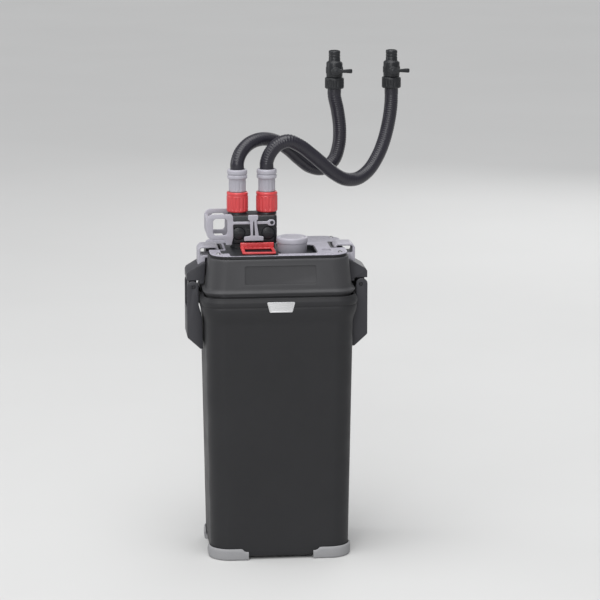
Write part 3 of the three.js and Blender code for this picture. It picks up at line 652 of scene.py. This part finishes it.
badge_outline = [(-21, 398.5, 1.4), (-16.8, 383, 1.6), (16.8, 383, 1.6), (21, 398.5, 1.4)]
badge_rim = [(-18.6, 396.7, 0.8), (-15.3, 384.8, 0.9), (15.3, 384.8, 0.9), (18.6, 396.7, 0.8)]
badge_frame = plate("badge", [rounded(badge_outline), rounded(badge_rim)], -89.0, -87.8, 0.25)
badge_panel = plate("badge", [rounded(badge_outline)], -88.6, -87.6, 0.15)
piece("badge_blank", merged("badge", badge_frame, badge_panel), "root", "badge_silver", "badge_plate", angle=30)


# ------------------------------------------------------------------ motor head
POCKET_X = 84
POCKET_HALF = 22
POCKET_Z = 453.5
COVER_TOP = 467.5
DECK_TOP = 466.6
FACE_TILT = math.atan(4 / 48)


def head_housing():
    """The motor head: a shell with a lip over the collar, clamp pockets and a sunk front panel."""
    levels = [
        (413, 204, 147, 21), (385, 204, 147, 21), (385, 216, 159, 26), (405.6, 216, 159, 26),
        (405.6, 219, 163, 27.4), (406, 220.6, 164.6, 28), (408, 222.6, 166.6, 28.8), (410.4, 226.4, 170.4, 30),
        (411.3, 227.6, 171.6, 30.5), (412.2, 227.4, 171.4, 30.4), (413.2, 225.6, 170, 30), (414.6, 220.8, 167, 29.2),
        (415.3, 219, 165.8, 28.9), (416.2, 218, 165, 28.7), (418.5, 217.2, 164.3, 28.6),
        (457.6, 208.9, 157.7, 28), (459.4, 208.5, 157.3, 27.8), (460.5, 207.6, 156.4, 27.3),
        (461.1, 206.3, 155.1, 26.8),
        (461.3, 204.8, 153.6, 26.2), (461.3, 201.4, 150.4, 25), (457, 201, 150, 24.8), (417, 209, 157, 24),
    ]
    shell = loft("head", levels, steps=16)
    cutters = []
    for side in (-1, 1):
        xs = sorted((side * POCKET_X, side * 130))
        cutters.append(block("pocket", xs, (-POCKET_HALF, POCKET_HALF), (POCKET_Z, 480), 1.5))
    panel = plate("panel", [rounded([(-53, 423.5), (53, 423.5), (53, 451.5), (-53, 451.5)], 3)], -4, 1.0, 0.3)
    lean = Matrix.Rotation(-FACE_TILT, 4, "X")
    centre = Matrix.Translation(Vector((0, -80.35, 437.5)) * MM)
    panel.transform(centre @ lean @ Matrix.Translation(Vector((0, 0, -437.5)) * MM))
    cutters.append(panel)
    return carve(shell, *cutters)


def pocket_liner(side):
    """The walls and floor of a clamp pocket in the head's shoulder."""
    xs = sorted((side * (POCKET_X - 3), side * 101.8))
    inner = sorted((side * POCKET_X, side * 130))
    shell = block("liner", xs, (-POCKET_HALF - 3, POCKET_HALF + 3), (POCKET_Z - 4, COVER_TOP), 2)
    return carve(shell, block("space", inner, (-POCKET_HALF, POCKET_HALF), (POCKET_Z, 480), 1.5))


piece("motor_head_shell", head_housing(), "root", "head_plastic", "motor_head_housing", bevel=0.35, segments=2)
for side, hand_name in ((-1, "left"), (1, "right")):
    piece(f"clamp_pocket_{hand_name}", pocket_liner(side), "root", "head_plastic", "motor_head_housing", bevel=0.5)

# Painted shade: a dark rubber ring filling the gap under the top plate's overhang, standing in for the shade in that
# gap rather than a real gasket.
shadow_ring = [(461.5, 199, 148, 24), (461.5, 201.6, 150.6, 25), (465.5, 201.6, 150.6, 25), (465.5, 199, 148, 24)]
piece("shadow_gap_dark_ring", loft("ring", shadow_ring, steps=14, close_loop=True), "root", "seal_rubber")

PORTS = {"inlet": middle("inlet_lock_collar"), "outlet": middle("outlet_lock_collar")}
PRIMER = middle("primer_button")


def deck_outline(grow):
    """The dark deck's outline: the valve's bay, open to the front edge, and the primer's tray beside it."""
    corners = [
        (-86, -58, 4, -1, -1), (-74, -58, 2, -1, -1), (-74, -76.5, 2, -1, -1), (-3, -76.5, 1, 1, -1),
        (-3, -66, 1, 1, -1), (57.5, -66, 9, 1, -1), (57.5, 4, 9, 1, 1), (2.5, 4, 1, 1, 1), (2.5, 30, 5, 1, 1),
        (-77, 30, 5, -1, 1), (-77, -29, 2, -1, 1), (-86, -29, 4, -1, 1),
    ]
    return rounded([(x + grow * dx, y + grow * dy, r) for x, y, r, dx, dy in corners])


def top_plate():
    """The speckled plate on the head, cut for the deck, the clamp pockets and a small sunk mark."""
    plate_levels = [
        (459, 200, 149, 25), (465.6, 200, 149, 25), (465.6, 204, 153, 26.7), (465.9, 204.8, 153.8, 27.1),
        (466.5, 205, 154, 27.2), (467, 204.5, 153.5, 26.9), (467.4, 203.2, 152.2, 26.3),
        (467.5, 201.6, 150.6, 25.5),
    ]
    cutters = [plate("hole", [deck_outline(0.3)], 440, 490, 0.0, "XY")]
    for side in (-1, 1):
        xs = sorted((side * (POCKET_X - 3.3), side * 120))
        cutters.append(block("notch", xs, (-POCKET_HALF - 3.3, POCKET_HALF + 3.3), (450, 480), 2))
    cutters.append(block("mark", (66, 79), (-52, -34), (466.7, 475), 5, 6))
    return carve(loft("cover", plate_levels, steps=14), *cutters)


def deck():
    """The dark floor under the valve block, with a sunken tray round the priming button."""
    sheet = plate("deck", [deck_outline(0)], 462, DECK_TOP, 0.5, "XY")
    tray = block("tray", (1.5, 57), (-65.5, 3.5), (457.5, 465.8), 8, 8)
    pad = block("pad", (-66, -3), (-19, 19), (463, 467.4), 3, 4)
    whole = carve(sheet, tray, pad, mode="UNION")
    room = block("room", (2.6, 56), (-64.5, 2.5), (459.5, 480), 7.5, 8)
    hole = lathe("hole", [(0, 450), (22.8, 450), (22.8, 480), (0, 480)], PRIMER.x, PRIMER.y)
    ports = [lathe("port", [(0, 450), (11.8, 450), (11.8, 480), (0, 480)], port.x, port.y, 64)
             for port in PORTS.values()]
    return carve(whole, room, hole, *ports)


piece("motor_head_top_plate", top_plate(), "root", "cover_plastic", "motor_head_top_cover", bevel=0.4, segments=2)
piece("motor_head_deck_moulding", deck(), "root", "black_plastic", "motor_head_deck", bevel=0.3, segments=2)


def cross_screw(x, y):
    """A pan-head screw with a cross recess."""
    top = 469.4
    profile = [(0, 466.5), (3.6, 466.5), (3.7, 467.6), (3.3, 468.7), (2.2, top - 0.1), (0, top)]
    head = lathe("screw", profile, x, y, 32)
    arms = [block("arm", (x - 1.9, x + 1.9), (y - 0.4, y + 0.4), (top - 1.1, top + 1), 0.2, 2),
            block("arm", (x - 0.4, x + 0.4), (y - 1.9, y + 1.9), (top - 1.1, top + 1), 0.2, 2)]
    return carve(head, *arms)


screws = [cross_screw(x, y) for x in (-91, 91) for y in (-60.5, 60.5)]
piece("top_plate_screws", merged("screws", *screws), "root", "steel", angle=30)


def gland():
    """The hexagonal nut that the mains cord goes in through, with a ring inside."""
    centre = middle("cord_gland")
    hexagon = [(centre.x + 9 * math.cos(math.pi / 3 * k), centre.z + 9 * math.sin(math.pi / 3 * k)) for k in range(6)]
    nut = plate("nut", [rounded(hexagon, 1.2), circle(centre.x, centre.z, 4.6)], 81.6, 87.2, 0.8)
    tube = [(3.7, 72.5), (6, 72.5), (6, 87.6), (5.4, 88.4), (4.2, 88.4), (3.7, 87.8), (3.7, 72.5)]
    return merged("gland", nut, lathe("tube", tube, centre.x, sides=48, axis="Y", at=centre.z))


piece("cord_gland_nut", gland(), "root", "black_plastic", "cord_gland", angle=40)


# ------------------------------------------------------------------ clamps
LEVER_HALF = 31
HOOK_HALF = 17
SHOULDER_HALF = 27.6
CHEEK = 3
WING = 2.2
LINK = joint_at("clamp_hook_right_hinge")
PIVOT = joint_at("clamp_lever_right_hinge")


def mirrored(points, side):
    """An outline drawn for the right-hand clamp, on the given side."""
    return [(side * point[0], *point[1:]) for point in points]


def clamp_lever(side):
    """The lever: two cheeks on the pivot, a wall between them and finger ribs on its outside."""
    cheek = mirrored([
        (118.6, 420.6, 8), (118.6, 385, 2), (113.6, 365, 3), (112.7, 317.2, 1.2), (115, 317.2, 1.2), (136, 335.4, 3),
        (136, 420.6, 8),
    ], side)
    hole = circle(side * PIVOT.x, PIVOT.z, 2.6)
    cheeks = [plate("cheek", [rounded(cheek), hole], y, y + CHEEK, 0.9) for y in (-LEVER_HALF, LEVER_HALF - CHEEK)]
    face = mirrored([
        (132.8, 377), (132.8, 340.2, 4), (116, 325.7), (114.6, 317.2, 1), (116.4, 317.2, 1), (136, 335, 4),
        (136, 377),
    ], side)
    wall = plate("wall", [rounded(face, 1.2)], -LEVER_HALF + 0.8, LEVER_HALF - 0.8, 0.6)
    ribs = []
    for k in range(5):
        z = 344 + 6.5 * k
        rib = mirrored([(134.5, z - 1.1), (134.5, z + 1.1), (136, z + 0.8, 0.7), (136, z - 0.8, 0.7)], side)
        ribs.append(plate("rib", [rounded(rib, 0.3)], -24, 24, 0.25))
    return merged("lever", *cheeks, wall, *ribs)


def clamp_loop(side):
    """The open loop of a clamp hook, which bears on the head's shoulder."""
    outline = mirrored([
        (108.3, 442, 0.6), (107.6, 454, 1), (87, 454, 1.6), (87, 467.2, 3), (91.5, 472, 3), (113.5, 472, 5),
        (118.5, 466.5, 4), (118.5, 442, 0.6),
    ], side)
    opening = mirrored([(91, 457.6), (114.6, 457.6), (114.6, 468.4), (91, 468.4)], side)
    return plate("loop", [rounded(outline, steps=7), rounded(opening, 2)], -HOOK_HALF, HOOK_HALF, 1.0)


def clamp_arm(side):
    """The dark arm of a clamp hook, with the broad shoulder cover round it."""
    arm = mirrored([
        (122.3, 391.5, 5), (122.3, 420.5, 6), (109.6, 442, 1), (110.5, 446, 1), (117.5, 442), (133, 425.4, 7),
        (133, 391.5, 5),
    ], side)
    eye = circle(side * LINK.x, LINK.z, 2.45)
    roof = mirrored([
        (107.8, 448, 0.7), (111, 448.6, 1.5), (134.2, 434.6, 3), (136, 431, 2), (136, 421.5, 0.8), (133, 421.5, 0.8),
        (133, 430.5, 1), (110.5, 444.8, 1), (108, 444.8, 0.7),
    ], side)
    wing = mirrored([
        (107.8, 448, 0.7), (111, 448.6, 1.5), (134.2, 434.6, 3), (136, 431, 2), (136, 421.5, 0.8), (117, 421.5, 2),
        (116.4, 416.4, 1.5), (110.4, 416.4, 1.5),
    ], side)
    return merged(
        "arm",
        plate("arm", [rounded(arm, steps=7), eye], -HOOK_HALF + 0.3, HOOK_HALF - 0.3, 0.8),
        plate("roof", [rounded(roof)], -SHOULDER_HALF + 0.4, SHOULDER_HALF - 0.4, 0.3),
        *(plate("wing", [rounded(wing)], y, y + WING, 0.7) for y in (SHOULDER_HALF - WING, -SHOULDER_HALF)),
    )


def link_pin(side):
    """The steel pin that joins a hook to its lever."""
    profile = [(0, -30.6), (1.8, -30.6), (2.3, -30.2), (2.3, 30.2), (1.8, 30.6), (0, 30.6)]
    return lathe("pin", profile, side * LINK.x, sides=32, axis="Y", at=LINK.z)


for side, hand_name in ((-1, "left"), (1, "right")):
    lever_body = f"clamp_lever_{hand_name}"
    hook_body = f"clamp_hook_{hand_name}"
    piece(f"clamp_lever_{hand_name}_moulding", clamp_lever(side), lever_body, "clamp_plastic", lever_body, angle=40)
    piece(f"clamp_hook_{hand_name}_loop", clamp_loop(side), hook_body, "grey_plastic", hook_body, angle=40)
    piece(f"clamp_hook_{hand_name}_arm", clamp_arm(side), hook_body, "clamp_plastic", hook_body, angle=40)
    piece(f"clamp_link_pin_{hand_name}_turned", link_pin(side), lever_body, "steel",
          f"clamp_link_pin_{hand_name}", angle=40)


# ------------------------------------------------------------------ shut-off valve
VALVE_PIVOT = joint_at("valve_lever_hinge")
BARREL_Z = joint_at("inlet_barrel_turn").z


def valve_block():
    """The block with two necks above, two spigots below, cross bores and the lever's stub shaft."""
    cx = (-69.5 + 0.5) / 2
    levels = [
        (467.8, 63, 39, 4), (474.6, 63, 39, 4), (475, 66, 42, 4.6), (475.8, 68.4, 44.4, 5.2), (477, 69.6, 45.6, 5.6),
        (499, 69.8, 45.8, 5.6), (499.5, 68.8, 44.8, 5.2), (500.7, 68.8, 44.8, 5.2), (501.2, 69.8, 45.8, 5.6),
        (515.5, 69.6, 45.6, 5.6), (517.2, 68.2, 44.2, 5), (518, 65.5, 41.5, 4.4),
    ]
    body = loft("block", levels, cx, 0, 10)
    bores = [lathe("bore", [(0, -30), (10.2, -30), (10.2, 30), (0, 30)], port.x, sides=64, axis="Y", at=BARREL_Z)
             for port in PORTS.values()]
    body = carve(body, *bores)
    extras = []
    for port in PORTS.values():
        neck = [(8.7, 510), (14.6, 510), (14.6, 519.4), (14, 520.4), (12.2, 520.6), (12.2, 548.4), (11.6, 549),
                (8.7, 549), (8.7, 510)]
        extras.append(lathe("neck", neck, port.x, port.y))
        spigot = [(7, 452), (9, 452), (9.5, 453), (9.5, 470), (7, 470), (7, 452)]
        extras.append(lathe("spigot", spigot, port.x, port.y, 64))
    stub = [(0, -28.4), (1.9, -28.4), (2.2, -28), (2.2, 28), (1.9, 28.4), (0, 28.4)]
    extras.append(lathe("stub", stub, VALVE_PIVOT.x, sides=40, axis="Y", at=VALVE_PIVOT.z))
    for z in (479.5, 495):
        rib = rounded([(-47, z), (-24, z), (-24, z + 2.2), (-47, z + 2.2)], 0.8)
        extras.append(plate("rib", [rib], -23.6, 23.6, 0.4))
    return merged("valve", body, *extras)


def valve_barrel(x):
    """A drum across the valve, closed by domed ends with a raised bar that shows how it is turned."""
    profile = [(0, -22.9), (8.4, -22.9), (9.4, -22.4), (9.8, -21.6), (9.8, 21.6), (9.4, 22.4), (8.4, 22.9), (0, 22.9)]
    drum = lathe("drum", profile, x, sides=72, axis="Y", at=BARREL_Z)
    low, high = BARREL_Z - 1.5, BARREL_Z + 1.5
    bar = rounded([(x - 7, low), (x + 7, low), (x + 7, high), (x - 7, high)], 1)
    bars = [plate("bar", [bar], y0, y1, 0.3) for y0, y1 in ((-23.4, -22.4), (22.4, 23.4))]
    return merged("barrel", drum, *bars)


def lever_arm(y0, y1):
    """One side arm of the shut-off lever, with its eye, bar and finger loop."""
    outline = rounded([
        (-3.4, 502.9, 4.5), (-3.4, 512.1, 4.5), (-12, 512.1, 4), (-15, 509.5, 3), (-66, 509.5, 1.5), (-66, 521, 8),
        (-106, 521, 10), (-106, 483, 10), (-78.5, 483, 2), (-77, 474.5, 1.2), (-68.5, 474.5, 1.2), (-66, 486, 3),
        (-66, 505.5, 1.5), (-15, 505.5, 3), (-12, 502.9, 4),
    ], steps=7)
    grip_hole = rounded([(-96, 489.5), (-75, 489.5), (-75, 514.5), (-96, 514.5)], 5, 7)
    pivot_hole = circle(VALVE_PIVOT.x, VALVE_PIVOT.z, 2.5)
    return plate("arm", [outline, grip_hole, pivot_hole], y0, y1, 0.8)


def valve_lever():
    """The shut-off lever: an arm on each side of the valve, joined by the grip."""
    grip = plate("grip", [rounded([(-106, 490), (-100, 490), (-100, 514), (-106, 514)], 2.4)], -26, 26, 0.8)
    return merged("lever", lever_arm(-27.6, -24.4), lever_arm(24.4, 27.6), grip)


def valve_clasp():
    """The grey clasp on the front of the valve block."""
    outline = rounded([
        (-50, 481, 1.4), (-21, 481, 1.4), (-21, 487.2, 1.4), (-28, 488.5, 2), (-31.5, 511.5, 2), (-29, 513, 1),
        (-29, 520, 1.6), (-44, 520, 1.6), (-44, 513, 1), (-41.5, 511.5, 2), (-40, 488.5, 2), (-50, 487.2, 1.4),
    ])
    front = plate("clasp", [outline], -31.8, -28.6, 0.8)
    foot = plate("foot", [rounded([(-48, 481.2), (-23, 481.2), (-23, 486), (-48, 486)], 1)], -30, -22.9, 0.4)
    rib = rounded([(-37.2, 489), (-33.4, 489), (-34.6, 511), (-36.6, 511)], 0.8)
    return merged("clasp", front, foot, plate("rib", [rib], -31.8, -30.4, 0.3))


def valve_latch():
    """The red catch in front of the valve: an open frame with a tall lip along its back bar."""
    outline = rounded([(-55.5, -70), (-5.5, -70), (-5.5, -23.9), (-55.5, -23.9)], 2)
    window = rounded([(-50.5, -65.5), (-10, -65.5), (-10, -31), (-50.5, -31)], 2.5)
    border = plate("border", [outline, window], 467.9, 470.6, 0.7, "XY")
    lip = plate("lip", [rounded([(-30, 469), (-26.4, 469), (-26.4, 478), (-30, 478)], 1.4)], -55.5, -5.5, 0.7, "YZ")
    ribs = []
    for x in (-45, -37.8, -30.5, -23.2, -16):
        rib = rounded([(x - 0.9, 471), (x + 0.9, 471), (x + 0.9, 476.6), (x - 0.9, 476.6)], 0.8)
        ribs.append(plate("rib", [rib], -30.7, -29.2, 0.35))
    return merged("latch", border, lip, *ribs)


piece("valve_block", valve_block(), "root", "black_plastic", "valve_body", angle=40)
piece("valve_lever_moulding", valve_lever(), "valve_lever", "grey_plastic", "valve_lever", angle=40)
piece("valve_clasp_moulding", valve_clasp(), "root", "grey_plastic", "valve_clasp", angle=40)
piece("valve_latch_moulding", valve_latch(), "valve_latch", "red_plastic", "valve_latch", angle=40)

for label, port in PORTS.items():
    x, y = port.x, port.y
    piece(f"{label}_barrel_drum", valve_barrel(x), f"{label}_barrel", "black_plastic",
          f"{label}_valve_barrel", angle=40)
    collar = [(12.7, 521), (15, 521), (15.7, 521.5), (16, 522.4), (16.2, 523.4), (16.2, 524.4), (16.2, 528),
              (16.2, 532), (16.2, 536), (16.2, 540), (16.2, 543.5), (16.2, 544.5), (15.6, 545.2), (15.6, 546.2),
              (16.1, 546.8), (16.1, 549.4), (15.6, 550.6), (14.6, 551), (12.7, 551), (12.7, 521)]
    piece(f"{label}_red_collar", lathe("collar", collar, x, y, 192, (16, 0.9, 524, 544)), f"{label}_collar",
          "red_plastic", f"{label}_lock_collar", angle=50)
    nut = [(8.7, 551.3), (12.2, 551.3), (12.7, 552), (12.7, 554), (12.7, 558), (12.7, 562), (12.7, 566), (12.7, 569),
           (13, 570.4), (14.4, 571.2), (15, 572), (15, 575.6), (14.7, 576.2), (14, 576.6), (14, 577.6), (14.7, 578),
           (15, 578.6), (15, 582.6), (14.6, 584), (13.6, 584.9), (12, 585), (10.9, 584.7), (10.7, 583), (8.7, 583),
           (8.7, 551.3)]
    piece(f"{label}_grey_nut", lathe("nut", nut, x, y, 192, (12, 0.7, 553, 568)), "root", "grey_plastic",
          f"{label}_hose_nut", angle=50)


# ------------------------------------------------------------------ priming button
def primer_button():
    """The button: a cap with a shallow ring in its top and a skirt over the cylinder."""
    profile = [
        (0, 481), (19.8, 481), (20.2, 480), (20.2, 456.4), (20.6, 456), (21.8, 456), (22.2, 456.4), (22.2, 478.4),
        (22.4, 479), (22.8, 479), (23.3, 479.3), (23.6, 480), (23.6, 485), (23.3, 486.2), (22.5, 487.1),
        (21.4, 487.5), (19.8, 487.4), (19, 486.9), (18.6, 486.5), (17.8, 486.4), (17, 486.6), (16.4, 486.9),
        (14, 487), (7, 487.1), (0, 487.1),
    ]
    return lathe("button", profile, PRIMER.x, PRIMER.y, 128)


piece("primer_button_cap", primer_button(), "primer", "grey_plastic", "primer_button", angle=50)


# ------------------------------------------------------------------ taps
def tap_body(x, y, spindle_z):
    """A tap's body with its barbed tail, spindle boss and side fins."""
    profile = [
        (6.3, 711.6), (11.8, 711.6), (12.3, 712.4), (12.4, 713.4), (12.4, 732.6), (12.1, 733.8), (11.2, 734.8),
        (9.6, 735.6), (9, 736.4), (8.8, 738), (8.8, 741), (8.4, 741.6), (8.4, 742.4), (8.8, 743), (8.8, 745),
        (8.4, 745.6), (8.4, 746.4), (8.8, 747), (8.8, 750.6), (8.3, 751.6), (7.4, 752), (6.3, 752), (6.3, 711.6),
    ]
    boss = [(2.9, y - 15), (6, y - 15), (6.5, y - 14.4), (6.5, y - 6), (2.9, y - 6), (2.9, y - 15)]
    fin = rounded([(x - 12.9, spindle_z - 5), (x + 12.9, spindle_z - 5), (x + 12.9, spindle_z + 5),
                   (x - 12.9, spindle_z + 5)], 1)
    return merged(
        "tap",
        lathe("body", profile, x, y),
        lathe("boss", boss, x, sides=48, axis="Y", at=spindle_z),
        plate("fin", [fin], y - 3.2, y + 3.2, 0.6),
    )


def tap_lever(x, y, z):
    """A tap's side lever on its spindle."""
    arm = rounded([(x - 5.8, z - 5.8, 5.7), (x + 3, z - 5.8, 4), (x + 9, z - 2.2, 5), (x + 22, z - 3.2, 2.9),
                   (x + 25.2, z - 3.2, 2.9), (x + 25.2, z + 3.2, 2.9), (x + 22, z + 3.2, 2.9), (x + 9, z + 2.2, 5),
                   (x + 3, z + 5.8, 4), (x - 5.8, z + 5.8, 5.7)])
    spindle = [(0, y - 20.2), (2.6, y - 20.2), (3.1, y - 19.8), (3.1, y - 19.2), (2.4, y - 19), (2.4, y - 8.6),
               (0, y - 8.6)]
    return merged("lever", plate("arm", [arm], y - 19.4, y - 15.6, 0.8),
                  lathe("spindle", spindle, x, sides=40, axis="Y", at=z))


for label in ("inlet", "outlet"):
    nut_at = middle(f"{label}_tap_nut")
    pivot = joint_at(f"{label}_tap_turn")
    x, y = nut_at.x, nut_at.y
    piece(f"{label}_tap_housing", tap_body(x, y, pivot.z), "root", "black_plastic", f"{label}_tap_body", angle=40)
    piece(f"{label}_tap_handle", tap_lever(x, y, pivot.z), f"{label}_tap", "black_plastic",
          f"{label}_tap_lever", angle=40)
    ring = [(10.6, 694), (13.2, 694), (14.2, 694.6), (14.6, 695.8), (14.6, 698), (14.6, 702), (14.6, 706),
            (14.6, 709), (14.2, 710.2), (13.2, 711), (11, 711.3), (6.4, 711.3), (6.4, 696), (10.6, 696),
            (10.6, 694)]
    piece(f"{label}_tap_union_nut", lathe("ring", ring, x, y, 192, (16, 0.8, 697, 708)), "root",
          "black_plastic", f"{label}_tap_nut", angle=50)

# ------------------------------------------------------------------ pieces kept from the frame
for node_name, node in frame["nodes"].items():
    if not node.hide_render:
        node.data.materials.clear()
        node.data.materials.append(materials[slot_of_node[node_name]])


# ------------------------------------------------------------------ floor and light
def make_stage():
    """A plain pale floor."""
    bpy.ops.mesh.primitive_plane_add(size=40, location=(0, 4, 0))
    floor = bpy.context.object
    floor.name = "floor"
    material, tree, shader = node_tree("floor_paint")
    base = blend_color(tree, noise_field(tree, 1.5, 3), (0.58, 0.58, 0.575), (0.62, 0.62, 0.615))
    link(tree, base, shader.inputs["Base Color"])
    shader.inputs["Roughness"].default_value = 0.75
    floor.data.materials.append(material)


def soft_light(name, at, aim, size, power):
    data = bpy.data.lights.new(name, "AREA")
    data.shape = "RECTANGLE"
    data.size, data.size_y = size
    data.energy = power
    lamp = bpy.data.objects.new(name, data)
    scene.collection.objects.link(lamp)
    lamp.location = at
    lamp.rotation_euler = (Vector(at) - Vector(aim)).to_track_quat("Z", "Y").to_euler()


def make_lights():
    """A dim sky, an even wash from a very broad sun, and four soft boxes."""
    world = bpy.data.worlds.new("studio")
    world.use_nodes = True
    world.node_tree.nodes["Background"].inputs["Color"].default_value = (0.80, 0.81, 0.83, 1)
    world.node_tree.nodes["Background"].inputs["Strength"].default_value = 0.42
    scene.world = world
    sun = bpy.data.objects.new("sky_wash", bpy.data.lights.new("sky_wash", "SUN"))
    sun.data.energy = 1.9
    sun.data.angle = math.radians(70)
    sun.rotation_euler = (math.radians(28), math.radians(-14), 0)
    scene.collection.objects.link(sun)
    soft_light("key", (-0.7, -3.0, 1.5), (0, 0, 0.3), (1.2, 1.4), 26)
    soft_light("top", (0.0, -0.2, 3.0), (0, 0, 0.4), (2.4, 2.0), 30)
    soft_light("left", (-3.0, 0.6, 1.4), (0, 0, 0.3), (1.2, 1.6), 16)
    soft_light("back", (1.4, 3.0, 1.5), (0, 0, 0.3), (1.6, 1.6), 15)


make_stage()
make_lights()
scene.view_settings.view_transform = "Standard"
